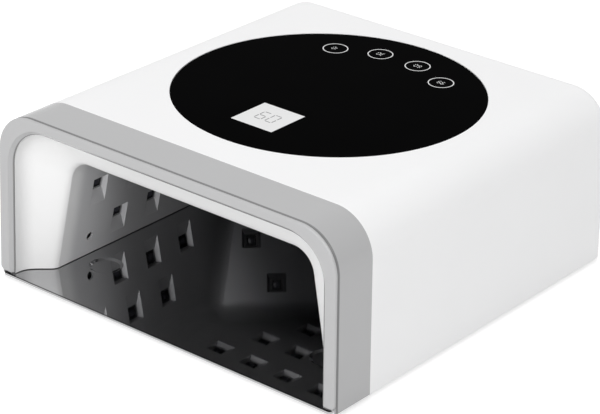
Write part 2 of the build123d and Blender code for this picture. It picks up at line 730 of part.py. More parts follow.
magnet_places = [(side * boss_x, y) for side in (-1, 1)
                 for y in (magnet_first_y, body_depth - magnet_back_room)]
add("bottom_frame", make_bottom_frame())
add("base_magnets", *[cylinder_z(x, y, plate_thickness, frame_top, magnet_radius) for x, y in magnet_places])
add("bottom_screws", *[screw(Plane(origin=(x, y, inner_bottom + screw_head_height), x_dir=(1, 0, 0),
                                   z_dir=(0, 0, -1)),
                             screw_radius, screw_head_radius, screw_head_height, screw_length)
                       for x, y in boss_places])


# ---- power inlet --------------------------------------------------------------------------------
def cylinder_y(x, z, y0, y1, radius):
    """Cylinder along the depth."""
    return Pos(x, (y0 + y1) / 2, z) * Rot(90, 0, 0) * Cylinder(radius, y1 - y0)


jack_back = body_depth - jack_length
inner_back = body_depth - shell_wall
socket = cylinder_y(jack_x, jack_z, jack_back, body_depth, jack_radius)
socket += cylinder_y(jack_x, jack_z, inner_back - jack_flange_thickness, inner_back, jack_flange_radius)
socket -= cylinder_y(jack_x, jack_z, body_depth - jack_bore_depth, body_depth + extra, jack_bore_radius)
add("dc_jack", socket)
add("jack_pin", cylinder_y(jack_x, jack_z, body_depth - jack_bore_depth, body_depth - extra, jack_pin_radius))
tab_places = [jack_x - jack_tab_offset, jack_x + jack_tab_offset]
add("jack_tabs", *[Pos(x, jack_back - jack_tab_size[1] / 2, jack_z) * Box(*jack_tab_size) for x in tab_places])


# ---- leads and connectors -----------------------------------------------------------------------
def lead(*points):
    """Round lead: straight runs joined by arcs."""
    path = FilletPolyline(*points, radius=lead_bend) if len(points) > 2 else Line(*points)
    start = path @ 0
    return sweep(Plane(origin=start, z_dir=path % 0) * Circle(lead_radius), path=path)


plugs = []
leads = []
plug_level = control_bottom - connector_size[2] / 2
run_x = control_half_width - connector_size[1]
for bank in ("left", "right", "left_corner", "right_corner"):
    wall, spots, lie, length, pillars = banks[bank]
    side = -1 if bank.startswith("left") else 1
    a, b = (max(a for a, b in spots) - lead_side_step, lead_side_up) if length == pocket_length else (
        corner_first + corner_pitch, lead_corner_up)
    back = wall.plane(a, b, board_depth + board_thickness)
    plug = extrude(back * Rectangle(connector_size[0], connector_size[1]), amount=connector_size[2])
    plugs.append(plug)
    half_long, half_wide = connector_size[0] / 2, connector_size[1] / 2
    top = wall.plane(a, b + half_wide, board_depth + board_thickness + connector_size[2] / 2).origin
    plug_x = side * run_x
    plugs.append(box_between((plug_x - half_wide, top.Y - half_long, control_bottom - connector_size[2]),
                             (plug_x + half_wide, top.Y + half_long, control_bottom)))
    stop = side * (run_x + half_wide)
    up_start = top + wall.up * lead_radius
    leads.append(lead(up_start, (up_start.X, top.Y, plug_level), (stop, top.Y, plug_level)))
ceiling_back = chamber_top + board_depth + board_thickness
lead_ceiling_y = ceiling_first_y + lead_ceiling_rows * ceiling_pitch_y
ceiling_plug = box_between((-connector_size[0] / 2, lead_ceiling_y - connector_size[1] / 2, ceiling_back),
                           (connector_size[0] / 2, lead_ceiling_y + connector_size[1] / 2,
                            ceiling_back + ceiling_plug_height))
ceiling_socket = on_board(0, lead_ceiling_y, (connector_size[0], connector_size[1], ceiling_plug_height))
plugs += [ceiling_plug, ceiling_socket]
for x in (-lead_radius * 2, lead_radius * 2):
    leads.append(lead((x, lead_ceiling_y, ceiling_back + ceiling_plug_height),
                      (x, lead_ceiling_y, control_bottom - ceiling_plug_height)))
add("led_leads", *leads)
inlet_y = control_back - inlet_plug_before
plugs.append(on_board(run_x, inlet_y, (connector_size[1], connector_size[0], connector_size[2])))
add("lead_connectors", *plugs)

inlet_leads = []
for x, turn in zip(tab_places, (inlet_lead_gap / 2, -inlet_lead_gap / 2)):
    start = (x, jack_back - jack_tab_size[1], jack_z)
    inlet_leads.append(lead(start, (x, inlet_y + turn, jack_z), (x, inlet_y + turn, plug_level),
                            (run_x + connector_size[1] / 2, inlet_y + turn, plug_level)))
add("inlet_leads", *inlet_leads)

for name, items in pieces.items():
    compound = Compound(children=[place(item) for item in items])
    export_step(compound, f"parts/{name}.step")
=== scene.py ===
import math

import bmesh
import bpy
import numpy as np
from bpy.props import FloatProperty, FloatVectorProperty, PointerProperty
from mathutils import Matrix, Vector


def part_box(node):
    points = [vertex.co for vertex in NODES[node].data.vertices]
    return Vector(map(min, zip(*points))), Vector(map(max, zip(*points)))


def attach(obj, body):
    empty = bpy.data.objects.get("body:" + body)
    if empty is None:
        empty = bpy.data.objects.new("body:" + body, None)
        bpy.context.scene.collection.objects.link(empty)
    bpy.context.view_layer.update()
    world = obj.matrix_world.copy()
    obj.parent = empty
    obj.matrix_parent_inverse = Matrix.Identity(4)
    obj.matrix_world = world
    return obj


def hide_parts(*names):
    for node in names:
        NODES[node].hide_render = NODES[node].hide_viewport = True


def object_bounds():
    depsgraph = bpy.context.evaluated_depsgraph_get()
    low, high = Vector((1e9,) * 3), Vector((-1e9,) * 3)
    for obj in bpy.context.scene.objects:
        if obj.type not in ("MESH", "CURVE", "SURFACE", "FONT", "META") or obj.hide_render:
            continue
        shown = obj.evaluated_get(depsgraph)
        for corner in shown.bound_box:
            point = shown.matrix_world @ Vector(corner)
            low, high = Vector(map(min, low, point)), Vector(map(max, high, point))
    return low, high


bl_info = {
    "name": "Nail Curing Lamp",
    "version": (1, 0, 0),
    "blender": (4, 5, 0),
    "location": "View3D > Sidebar > Curing Lamp",
    "description": "Finishes, diodes and printed marks for a tunnel-shaped nail curing lamp",
    "category": "Object",
}

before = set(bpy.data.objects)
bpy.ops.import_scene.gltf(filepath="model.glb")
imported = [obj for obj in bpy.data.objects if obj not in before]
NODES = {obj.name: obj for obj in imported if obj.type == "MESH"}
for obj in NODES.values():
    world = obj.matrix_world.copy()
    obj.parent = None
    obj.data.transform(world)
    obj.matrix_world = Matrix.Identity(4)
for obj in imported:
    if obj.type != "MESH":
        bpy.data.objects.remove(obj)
CAD_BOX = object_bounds()
MM = 0.001

# surface of a moulding: slow drifts of colour and sheen, and the spark-eroded grain over them
TONE_DRIFT = 0.015
TONE_SCALE = 18.0
SHEEN_DRIFT = 0.04
SHEEN_SCALE = 40.0
GRAIN_SCALE = 1400.0
GRAIN_DEPTH = 0.04 * MM
FINE_DEPTH = 0.03 * MM       # grain of the bezel and the liner
GROUND_DEPTH = 0.02 * MM     # grain of metal, glass and diodes

# how sharply the painted dark lines of the plate's front edge end on its face: a painted dark reflection
# along its top and a painted contact shadow at its foot
TOP_BLUR = 0.05 * MM
FOOT_SHADOW_BLUR = 0.1 * MM

# edges of added pieces that turn more than this stay sharp
SHARP_ANGLE = math.radians(30.0)

# shape of a diode
CORNER_STEPS = 4             # points round each corner of its body
CORNER_ROUND = 1.6           # radius of such a corner, as a share of the rounded edge
CORNER_LIMIT = 0.4           # and at most this share of half the body
FACE_SHARE = 0.72            # outline of the sunk face, as a share of the body
FLOOR_SHARE = 0.66           # outline of its floor
FACE_SINK = 0.25 * MM
LENS_RISE = 0.22 * MM
QUARTER = 90.0
LENS_LEVELS = 5
LENS_STEPS = 20
DIODE_REACH = 9.0 * MM       # corners of one diode lie closer together than this
PAD_REACH = 12.0 * MM        # corners of one touch pad lie closer together than this

# soft lights: name, place, target, size in metres and power in watts
LIGHTS = (("key", (1.1, -1.2, 1.0), (0.0, 0.0, 0.04), 1.0, 9.0),
          ("front", (-0.2, -1.7, 0.55), (0.0, 0.0, 0.03), 1.0, 9.0),
          ("top", (-0.3, 0.2, 1.7), (0.0, 0.0, 0.09), 1.4, 6.0))
FLOOR_GAP = 0.02 * MM        # floor under the lowest point of the lamp

# figures printed on the glass
KEY_NUMBERS = ("10", "30", "60", "99")
WINDOW_NUMBER = "60"
KEY_LINE = 0.45 * MM
WINDOW_LINE = 0.55 * MM
WINDOW_SHIFT = 2.0 * MM      # white square to the left of the middle of the glass
FIGURE_ADVANCE = 1.55        # step from figure to figure, as a share of half their height
STROKE_TRIM = 0.65           # how far a stroke stops short of its corner, as a share of its width


# ---- settings -----------------------------------------------------------------------------------
def colour(name, description, default):
    """A colour that a user can change."""
    return FloatVectorProperty(name=name, description=description, subtype="COLOR", size=3, min=0.0, max=1.0,
                               default=default)


def length(name, description, default):
    """A length in metres that a user can change."""
    return FloatProperty(name=name, description=description, default=default, min=0.0, subtype="DISTANCE",
                         unit="LENGTH", precision=5)


def share(name, description, default):
    """A plain number from 0 to 1 that a user can change."""
    return FloatProperty(name=name, description=description, default=default, min=0.0, max=1.0,
                         subtype="FACTOR")


def angle(name, description, degrees):
    """An angle that a user can change."""
    return FloatProperty(name=name, description=description, default=math.radians(degrees), subtype="ANGLE",
                         unit="ROTATION")


class LampShellSettings(bpy.types.PropertyGroup):
    housing_colour: colour("Housing", "White of the moulded housing", (0.90, 0.90, 0.905))
    bezel_colour: colour("Bezel", "Light grey of the band and the front ring", (0.44, 0.44, 0.445))
    frame_colour: colour("Closing frame", "White of the frame under the housing", (0.80, 0.80, 0.80))
    # seam settings: painted shade, a darker band laid into the bezel's grey along the seam between ring and
    # band
    seam_depth: length("Seam depth", "Middle of the seam behind the bezel face", 0.00235)
    seam_reach: length("Seam reach", "How far from its middle the seam stays dark", 0.0008)
    seam_core: share("Seam core", "Share of the seam's reach that is fully dark", 0.4)
    seam_shade: share("Seam shade", "Tone down in the seam, as a share of the bezel's", 0.45)
    mouth_colour: colour("Mouth", "White of the flared mouth of the liner", (0.835, 0.835, 0.835))
    metal_colour: colour("Metallising", "Grey of the metallised chamber", (0.50, 0.50, 0.51))
    # haze: partly the thin metallising and partly painted light from the mouth
    haze_and_light_colour: colour("Haze", "Grey of the thin metallising next to the mouth", (0.70, 0.70, 0.71))
    metal_roughness: share("Metallising roughness", "How far the chamber blurs what it mirrors", 0.44)
    mouth_roughness: share("Mouth roughness", "How far the white mouth blurs what it mirrors", 0.42)
    blotch_shade: share("Blotch shade", "Darkest tone of the metallising, as a share of its grey", 0.92)
    haze_metal: share("Haze metal", "How far the haze mirrors like bare metal", 0.20)
    metal_share: share("Metal share", "How far the chamber mirrors like bare metal", 0.55)
    fade_start: length("Fade start", "Where the mouth's white starts to fade, behind the bezel face", 0.0258)
    fade_length: length("Fade length", "How far the white takes to fade into the haze", 0.009)
    haze_length: length("Haze length", "How far the haze takes to turn into full metal", 0.062)
    # dimming and deep grey: painted shade towards the back of the chamber
    painted_shade_start: length("Dim start", "Where the metal starts to dim, behind the bezel face", 0.120)
    painted_shade_length: length("Dim length", "How far the metal takes to reach its deep grey", 0.050)
    deep_shade_colour: colour("Deep metal", "Grey of the metal at the back of the chamber", (0.085, 0.085, 0.09))


class LampPlateSettings(bpy.types.PropertyGroup):
    steel_colour: colour("Plate", "Colour of the polished steel plate", (0.46, 0.46, 0.465))
    # front-edge lines of the plate: a painted dark reflection along the top of the edge and a painted contact
    # shadow at its foot
    edge_line_width: length("Shear line", "Width of the dark line along the front edge", 0.0009)
    edge_line_blur: length("Shear blur", "How far the dark line takes to end", 0.00027)
    top_line_depth: length("Shear depth", "How far the dark line rolls over the front edge", 0.00015)
    foot_shadow_height: length("Burr height", "Height of the dark burr at the foot of the front edge", 0.0004)
    edge_shade_colour: colour("Shear colour", "Dark grey of the sheared front edge", (0.05, 0.05, 0.052))
    steel_roughness: share("Plate roughness", "How far the plate blurs what it mirrors", 0.035)
    rubber_colour: colour("Feet", "Colour of the rubber feet", (0.035, 0.035, 0.035))


class LampGlassSettings(bpy.types.PropertyGroup):
    glass_colour: colour("Glass", "Colour of the back-printed glass", (0.0015, 0.0015, 0.0016))
    print_colour: colour("Print", "Colour of the marks on the glass", (0.78, 0.78, 0.78))
    print_height: length("Print thickness", "Thickness of the printed marks", 0.00004)
    ring_radius: length("Key ring radius", "Outer radius of the ring round each touch key", 0.0070)
    ring_line: length("Key ring line", "Width of the line of a key ring", 0.00055)
    badge_size: length("Window size", "Side of the white square on the glass", 0.0268)
    badge_offset: length("Window place", "White square in front of the middle of the glass", 0.0469)
    digit_height: length("Digit height", "Height of the digits in the key rings", 0.0030)
    badge_digit_height: length("Window digit height", "Height of the digits in the white square", 0.0090)


class LampDiodeSettings(bpy.types.PropertyGroup):
    package_colour: colour("Diode", "Dark body of a diode", (0.012, 0.012, 0.014))
    lens_colour: colour("Lens", "Clear lens over the chips", (0.045, 0.045, 0.055))
    lens_radius: length("Lens radius", "Radius of the lens of a diode", 0.0017)
    edge: length("Diode edge", "Width of the rounded edge of a diode", 0.0003)


class LampStageSettings(bpy.types.PropertyGroup):
    azimuth: angle("Camera azimuth", "Turn of the camera from straight ahead", 38.82)
    elevation: angle("Camera elevation", "Tilt of the camera above level", 25.447)
    roll: angle("Camera roll", "Turn of the camera about its own axis", 1.4995)
    lens: FloatProperty(name="Lens", description="Focal length on a 36 mm wide sensor", default=150.14,
                        min=1.0)
    camera_place: FloatVectorProperty(name="Camera place", description="Where the camera stands", size=3,
                                      subtype="TRANSLATION", unit="LENGTH",
                                      default=(0.743785, -0.929753, 0.601956))
    world_light: share("World light", "Level of the even light from all round", 0.62)
    floor_size: length("Floor size", "Side of the floor", 9.0)


# ---- mesh helpers -------------------------------------------------------------------------------
def new_object(name, mesh, body):
    """Puts a mesh into the scene as a piece of the lamp."""
    piece = bpy.data.objects.new(name, mesh)
    bpy.context.scene.collection.objects.link(piece)
    for polygon in mesh.polygons:
        polygon.use_smooth = True
    mesh.set_sharp_from_angle(angle=SHARP_ANGLE)
    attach(piece, body)
    return piece


def mesh_from(name, bm):
    """Closes a bmesh into a mesh with outward normals."""
    bmesh.ops.recalc_face_normals(bm, faces=bm.faces)
    mesh = bpy.data.meshes.new(name)
    bm.to_mesh(mesh)
    bm.free()
    return mesh


def add_slab(bm, outline, hole, low, high):
    """Adds a flat slab between two heights; hole is None or a loop with as many points as the outline."""
    bottom = [bm.verts.new((x, y, low)) for x, y in outline]
    top = [bm.verts.new((x, y, high)) for x, y in outline]
    count = len(outline)
    for i in range(count):
        j = (i + 1) % count
        bm.faces.new((bottom[i], bottom[j], top[j], top[i]))
    if not hole:
        bm.faces.new(top)
        bm.faces.new(list(reversed(bottom)))
        return
    inner_bottom = [bm.verts.new((x, y, low)) for x, y in hole]
    inner_top = [bm.verts.new((x, y, high)) for x, y in hole]
    for i in range(count):
        j = (i + 1) % count
        bm.faces.new((inner_bottom[j], inner_bottom[i], inner_top[i], inner_top[j]))
        bm.faces.new((top[i], top[j], inner_top[j], inner_top[i]))
        bm.faces.new((bottom[j], bottom[i], inner_bottom[i], inner_bottom[j]))


def circle_points(x, y, radius, count=64):
    """Points round a circle."""
    turns = [2 * math.pi * i / count for i in range(count)]
    return [(x + radius * math.cos(turn), y + radius * math.sin(turn)) for turn in turns]


def loose_parts(mesh, reach):
    """Groups a mesh's points into parts that lie further apart than reach."""
    points = [np.array(v.co, float) for v in mesh.vertices]
    groups = []
    for point in points:
        home = None
        for group in groups:
            if np.linalg.norm(group[0] - point) < reach:
                home = group
                break
        if home is None:
            groups.append([point])
        else:
            home.append(point)
    return [np.array(group) for group in groups]


# ---- material helpers ---------------------------------------------------------------------------
def maths(tree, operation, *values):
    """Adds a sum to a node tree; each value is a socket or a number."""
    node = tree.nodes.new("ShaderNodeMath")
    node.operation = operation
    for socket, value in zip(node.inputs, values):
        if isinstance(value, bpy.types.NodeSocket):
            tree.links.new(value, socket)
        else:
            socket.default_value = value
    return node.outputs[0]


def seen_share(tree):
    """1 for the rays of the camera, of mirrors and through glass, and 0 for the rest."""
    path = tree.nodes.new("ShaderNodeLightPath")
    seen = maths(tree, "MAXIMUM", path.outputs["Is Camera Ray"], path.outputs["Is Glossy Ray"])
    return maths(tree, "MAXIMUM", seen, path.outputs["Is Transmission Ray"])


class Finish:
    """A node material with one shader, built from small steps."""

    def __init__(self, name):
        self.material = bpy.data.materials.new(name)
        self.material.use_nodes = True
        self.tree = self.material.node_tree
        self.tree.nodes.clear()
        self.shader = self.tree.nodes.new("ShaderNodeBsdfPrincipled")
        self.output = self.tree.nodes.new("ShaderNodeOutputMaterial")
        self.tree.links.new(self.shader.outputs["BSDF"], self.output.inputs["Surface"])
        self.place = self.tree.nodes.new("ShaderNodeTexCoord").outputs["Object"]

    def set(self, **values):
        """Sets sockets of the shader itself: set(roughness=0.4)."""
        for key, value in values.items():
            socket = self.shader.inputs[key.replace("_", " ").title().replace("Ior", "IOR")]
            socket.default_value = (*value, 1.0) if hasattr(value, "__len__") and len(value) == 3 else value
        return self

    def link(self, out, socket):
        """Joins an output to an input."""
        self.tree.links.new(out, socket)

    def along(self, axis):
        """One coordinate of the part's own space."""
        split = self.tree.nodes.new("ShaderNodeSeparateXYZ")
        self.link(self.place, split.inputs["Vector"])
        return split.outputs[axis]

    def overlay(self, factor, shade):
        """Lays a second colour over the base colour."""
        base = self.shader.inputs["Base Color"]
        self.link(self.mix(factor, base.links[0].from_socket, shade), base)

    def noise(self, scale, detail=2.0, stretch=(1.0, 1.0, 1.0)):
        """Noise from 0 to 1 in the part's own space."""
        mapping = self.tree.nodes.new("ShaderNodeMapping")
        mapping.inputs["Scale"].default_value = stretch
        self.link(self.place, mapping.inputs["Vector"])
        node = self.tree.nodes.new("ShaderNodeTexNoise")
        node.inputs["Scale"].default_value = scale
        node.inputs["Detail"].default_value = detail
        self.link(mapping.outputs["Vector"], node.inputs["Vector"])
        return node.outputs["Fac"]

    def spread(self, value, low, high, start=0.3, end=0.7):
        """Maps a value between start and end to between low and high."""
        node = self.tree.nodes.new("ShaderNodeMapRange")
        node.interpolation_type = "SMOOTHSTEP"
        for socket, number in (("From Min", start), ("From Max", end), ("To Min", low), ("To Max", high)):
            node.inputs[socket].default_value = number
        self.link(value, node.inputs["Value"])
        return node.outputs["Result"]

    def mix(self, factor, first, second):
        """Mixes two colours, each a triple or a socket."""
        node = self.tree.nodes.new("ShaderNodeMix")
        node.data_type = "RGBA"
        self.link(factor, node.inputs["Factor"])
        for socket, value in ((node.inputs[6], first), (node.inputs[7], second)):
            if isinstance(value, bpy.types.NodeSocket):
                self.link(value, socket)
            else:
                socket.default_value = (*value, 1.0)
        return node.outputs[2]

    def tone(self, base, variation, scale):
        """Base colour with slow, slight variation."""
        dark = tuple(c * (1 - variation) for c in base)
        light = tuple(min(1.0, c * (1 + variation)) for c in base)
        self.link(self.mix(self.noise(scale), dark, light), self.shader.inputs["Base Color"])
        return self

    def sheen_change(self, low, high, scale):
        """Roughness that wanders between two values."""
        self.link(self.spread(self.noise(scale, 3.0), low, high), self.shader.inputs["Roughness"])
        return self

    def grain(self, scale, strength, distance, stretch=(1.0, 1.0, 1.0)):
        """Fine moulded or ground surface."""
        bump = self.tree.nodes.new("ShaderNodeBump")
        bump.inputs["Strength"].default_value = strength
        bump.inputs["Distance"].default_value = distance
        self.link(self.noise(scale, 4.0, stretch), bump.inputs["Height"])
        self.link(bump.outputs["Normal"], self.shader.inputs["Normal"])
        return self


def finish_node(name, material):
    """Gives a CAD node its finish."""
    slots = NODES[name].data.materials
    slots.clear()
    slots.append(material)


def moulded(name, base, roughness, grain=0.12, scale=GRAIN_SCALE):
    """Moulded plastic with a fine spark-eroded grain."""
    finish = Finish(name).tone(base, TONE_DRIFT, TONE_SCALE)
    finish.sheen_change(roughness - SHEEN_DRIFT, roughness + SHEEN_DRIFT, SHEEN_SCALE)
    return finish.grain(scale, grain, GRAIN_DEPTH).material


def bezel_finish(settings):
    """Light grey plastic of ring and band, with painted shade down in the seam between them."""
    finish = Finish("bezel_grey").tone(tuple(settings.bezel_colour), TONE_DRIFT, TONE_SCALE)
    finish.sheen_change(low=0.20, high=0.26, scale=SHEEN_SCALE)
    finish.grain(GRAIN_SCALE, strength=0.05, distance=FINE_DEPTH)
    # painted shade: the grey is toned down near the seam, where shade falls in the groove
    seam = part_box("bezel_ring")[0].y + settings.seam_depth
    away = maths(finish.tree, "ABSOLUTE", maths(finish.tree, "SUBTRACT", finish.along("Y"), seam))
    inside = finish.spread(away, 1.0, 0.0, settings.seam_reach * settings.seam_core, settings.seam_reach)
    finish.overlay(inside, tuple(c * settings.seam_shade for c in settings.bezel_colour))
    return finish.material


def metal(name, base, roughness):
    """Bare or plated metal."""
    finish = Finish(name).set(metallic=1.0).tone(base, variation=0.04, scale=60.0)
    finish.sheen_change(low=roughness - 0.03, high=roughness + 0.04, scale=90.0)
    return finish.grain(scale=2500.0, strength=0.05, distance=GROUND_DEPTH).material


def liner_finish(settings):
    """White mouth that fades into a thin haze of metal and then a metallised chamber, front to back; the haze
    is partly painted light from the mouth, and painted shade darkens the metal towards the back of the
    chamber.
    """
    finish = Finish("liner_metallised")
    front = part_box("bezel_ring")[0].y
    depth = finish.along("Y")
    start = front + settings.fade_start
    haze_share = finish.spread(depth, 0.0, 1.0, start, start + settings.fade_length)
    metal_share = finish.spread(depth, 0.0, 1.0, start, start + settings.haze_length)
    # painted shade: the metal darkens to a deep grey towards the back of the chamber, where less light
    # reaches
    painted_shade_start = front + settings.painted_shade_start
    painted_shade_share = finish.spread(depth, 0.0, 1.0, painted_shade_start, painted_shade_start + settings.painted_shade_length)
    light = tuple(settings.metal_colour)
    dark = tuple(c * settings.blotch_shade for c in light)
    near_tone = finish.mix(finish.noise(scale=26.0), dark, light)
    shaded_metal_tone = finish.mix(painted_shade_share, near_tone, tuple(settings.deep_shade_colour))
    haze_tone = finish.mix(metal_share, tuple(settings.haze_and_light_colour), shaded_metal_tone)
    base = finish.mix(haze_share, tuple(settings.mouth_colour), haze_tone)
    finish.link(base, finish.shader.inputs["Base Color"])
    haze_metal = finish.spread(metal_share, settings.haze_metal, settings.metal_share, 0.0, 1.0)
    finish.link(maths(finish.tree, "MULTIPLY", haze_share, haze_metal), finish.shader.inputs["Metallic"])
    roughness = finish.spread(haze_share, settings.mouth_roughness, settings.metal_roughness, 0.0, 1.0)
    finish.link(roughness, finish.shader.inputs["Roughness"])
    return finish.grain(scale=1200.0, strength=0.08, distance=FINE_DEPTH).material


# ---- operators ----------------------------------------------------------------------------------
class CURING_OT_housing(bpy.types.Operator):
    """Finish the white housing and the closing frame under it"""

    bl_idname = "curing.housing"
    bl_label = "Housing"

    def execute(self, context):
        settings = context.scene.lamp_shell
        white = moulded("housing_white", tuple(settings.housing_colour), roughness=0.38, grain=0.10)
        finish_node("housing_shell", white)
        frame_white = moulded("closing_frame_white", tuple(settings.frame_colour), roughness=0.5)
        finish_node("bottom_frame", frame_white)
        return {"FINISHED"}


class CURING_OT_bezel(bpy.types.Operator):
    """Finish the light grey band and the front ring"""

    bl_idname = "curing.bezel"
    bl_label = "Bezel"

    def execute(self, context):
        grey = bezel_finish(context.scene.lamp_shell)
        finish_node("bezel_band", grey)
        finish_node("bezel_ring", grey)
        return {"FINISHED"}


class CURING_OT_liner(bpy.types.Operator):
    """Finish the flared white mouth and the metallised chamber"""

    bl_idname = "curing.liner"
    bl_label = "Reflector liner"

    def execute(self, context):
        finish_node("reflector_liner", liner_finish(context.scene.lamp_shell))
        return {"FINISHED"}


class CURING_OT_plate(bpy.types.Operator):
    """Finish the polished base plate, its feet and the magnets above it"""

    bl_idname = "curing.plate"
    bl_label = "Base plate"

    def execute(self, context):
        settings = context.scene.lamp_plate
        rough = settings.steel_roughness
        brushed = (1.0, 0.05, 1.0)
        steel = Finish("plate_polished").set(metallic=1.0)
        steel.tone(tuple(settings.steel_colour), variation=0.02, scale=12.0)
        steel.sheen_change(low=rough * 0.8, high=rough * 1.3, scale=35.0)
        steel.grain(scale=900.0, strength=0.02, distance=GROUND_DEPTH, stretch=brushed)
        painted_edge_lines(steel, settings)
        finish_node("base_plate", steel.material)
        rubber = moulded("foot_rubber", tuple(settings.rubber_colour), 0.75, grain=0.3, scale=900.0)
        finish_node("plate_feet", rubber)
        finish_node("base_magnets", metal("magnet_nickel", (0.60, 0.59, 0.57), 0.2))
        return {"FINISHED"}


def painted_edge_lines(steel, settings):
    """Painted dark lines along the front edge of the plate: a painted dark reflection along the top of the
    edge and a painted contact shadow at its foot.
    """
    low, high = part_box("base_plate")
    edge = low.y + settings.edge_line_width
    near = steel.spread(steel.along("Y"), 1.0, 0.0, edge - settings.edge_line_blur, edge)
    height = steel.along("Z")
    # painted dark reflection along the top of the front edge
    painted_edge_reflection = steel.spread(height, 0.0, 1.0, high.z - settings.top_line_depth, high.z - TOP_BLUR)
    # painted contact shadow at the foot of the front edge
    painted_foot_shadow = steel.spread(height, 1.0, 0.0, settings.foot_shadow_height, settings.foot_shadow_height + FOOT_SHADOW_BLUR)
    ends = maths(steel.tree, "MAXIMUM", painted_edge_reflection, painted_foot_shadow)
    steel.overlay(maths(steel.tree, "MULTIPLY", near, ends), tuple(settings.edge_shade_colour))


def diode_frame(points):
    """Middle, and the wall directions, of one diode from the corners of its block."""
    middle = points.mean(0)
    normal = np.linalg.svd(points - middle)[2][2]
    inside = np.array([0.0, middle[1], 0.0])
    if np.dot(inside - middle, normal) < 0:
        normal = -normal
    out = Vector(normal)
    guide = Vector((0, 1, 0)) if abs(out.z) > 0.9 else Vector((0, 0, 1))
    up = (guide - out * guide.dot(out)).normalized()
    side = up.cross(out)
    turn = Matrix((side, up, out)).transposed().to_4x4()
    spans = [np.ptp((points - middle) @ np.array(axis)) for axis in (side, up, out)]
    return Matrix.Translation(Vector(middle)) @ turn, spans


def add_diode(bm, place, spans, settings):
    """Adds one diode: a square body with rounded edges, a sunk face and a low lens on its floor."""
    width, thick = spans[0] / 2, spans[2] / 2
    edge = settings.edge
    floor = thick - FACE_SINK
    rings = [(width, -thick), (width, thick - edge), (width - edge, thick), (width * FACE_SHARE, thick),
             (width * FLOOR_SHARE, floor)]
    loops = []
    for half, height in rings:
        corner = min(edge * CORNER_ROUND, half * CORNER_LIMIT)
        loop = []
        for cx, cy, start in ((1, 1, 0), (-1, 1, 90), (-1, -1, 180), (1, -1, 270)):
            for step in range(CORNER_STEPS):
                turn = math.radians(start + QUARTER * step / (CORNER_STEPS - 1))
                x = cx * (half - corner) + corner * math.cos(turn)
                y = cy * (half - corner) + corner * math.sin(turn)
                loop.append(bm.verts.new(place @ Vector((x, y, height))))
        loops.append(loop)
    for below, above in zip(loops, loops[1:]):
        for i in range(len(below)):
            j = (i + 1) % len(below)
            bm.faces.new((below[i], below[j], above[j], above[i]))
    bm.faces.new(list(reversed(loops[0])))
    bm.faces.new(loops[-1])
    previous = None
    for level in range(LENS_LEVELS):
        turn = math.pi / 2 * level / LENS_LEVELS
        outline = circle_points(0, 0, settings.lens_radius * math.cos(turn), LENS_STEPS)
        height = floor + LENS_RISE * math.sin(turn)
        ring = [bm.verts.new(place @ Vector((x, y, height))) for x, y in outline]
        if previous:
            for i in range(LENS_STEPS):
                j = (i + 1) % LENS_STEPS
                face = bm.faces.new((previous[i], previous[j], ring[j], ring[i]))
                face.material_index = 1
        previous = ring
    bm.faces.new(previous).material_index = 1


class CURING_OT_diodes(bpy.types.Operator):
    """Build the diodes in the pockets of the liner"""

    bl_idname = "curing.diodes"
    bl_label = "Diodes"

    def execute(self, context):
        settings = context.scene.lamp_diodes
        body = Finish("diode_body").set(specular_ior_level=0.12)
        body.tone(tuple(settings.package_colour), variation=0.1, scale=300.0)
        body.sheen_change(low=0.3, high=0.42, scale=400.0)
        body.grain(scale=3000.0, strength=0.1, distance=GROUND_DEPTH)
        lens = Finish("diode_lens").tone(tuple(settings.lens_colour), variation=0.2, scale=900.0)
        lens.sheen_change(low=0.05, high=0.15, scale=500.0)
        lens.grain(scale=1500.0, strength=0.05, distance=GROUND_DEPTH)
        for bank in [name for name in NODES if name.endswith("_leds")]:
            bm = bmesh.new()
            for points in loose_parts(NODES[bank].data, DIODE_REACH):
                place, spans = diode_frame(points)
                add_diode(bm, place, spans, settings)
            piece = new_object(bank.replace("_leds", "_diodes"), mesh_from(bank, bm), "lamp")
            piece.data.materials.append(body.material)
            piece.data.materials.append(lens.material)
            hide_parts(bank)
        return {"FINISHED"}


# segments of a digit: middle and direction on a grid one wide and two high
SEGMENTS = {"a": (0, 1, "h"), "b": (0.5, 0.5, "v"), "c": (0.5, -0.5, "v"), "d": (0, -1, "h"),
            "e": (-0.5, -0.5, "v"), "f": (-0.5, 0.5, "v"), "g": (0, 0, "h")}
DIGITS = {"0": "abcdef", "1": "bc", "3": "abgcd", "6": "afgedc", "9": "abcdfg"}


def stroke(x, y, lie, half, line):
    """Outline of one segment with pointed ends, lying across ("h") or standing ("v")."""
    reach, point = half - line / 2, line / 2
    outline = [(-half, 0), (-reach, -point), (reach, -point), (half, 0), (reach, point), (-reach, point)]
    if lie == "v":
        outline = [(-across, along) for along, across in outline]
    return [(x + dx, y + dy) for dx, dy in outline]


def add_digits(bm, text, middle, height, line, low, high, turned=False):
    """Adds a number drawn in straight segments, flat on the glass; turned reads from the back."""
    unit = height / 2
    sign = -1 if turned else 1
    for place, figure in enumerate(text):
        shift = (place - (len(text) - 1) / 2) * unit * FIGURE_ADVANCE
        for key in DIGITS[figure]:
            x, y, lie = SEGMENTS[key]
            shape = stroke(shift + x * unit, y * unit, lie, unit / 2 - line * STROKE_TRIM, line)
            outline = [(middle[0] + sign * px, middle[1] + sign * py) for px, py in shape]
            add_slab(bm, outline, None, low, high)


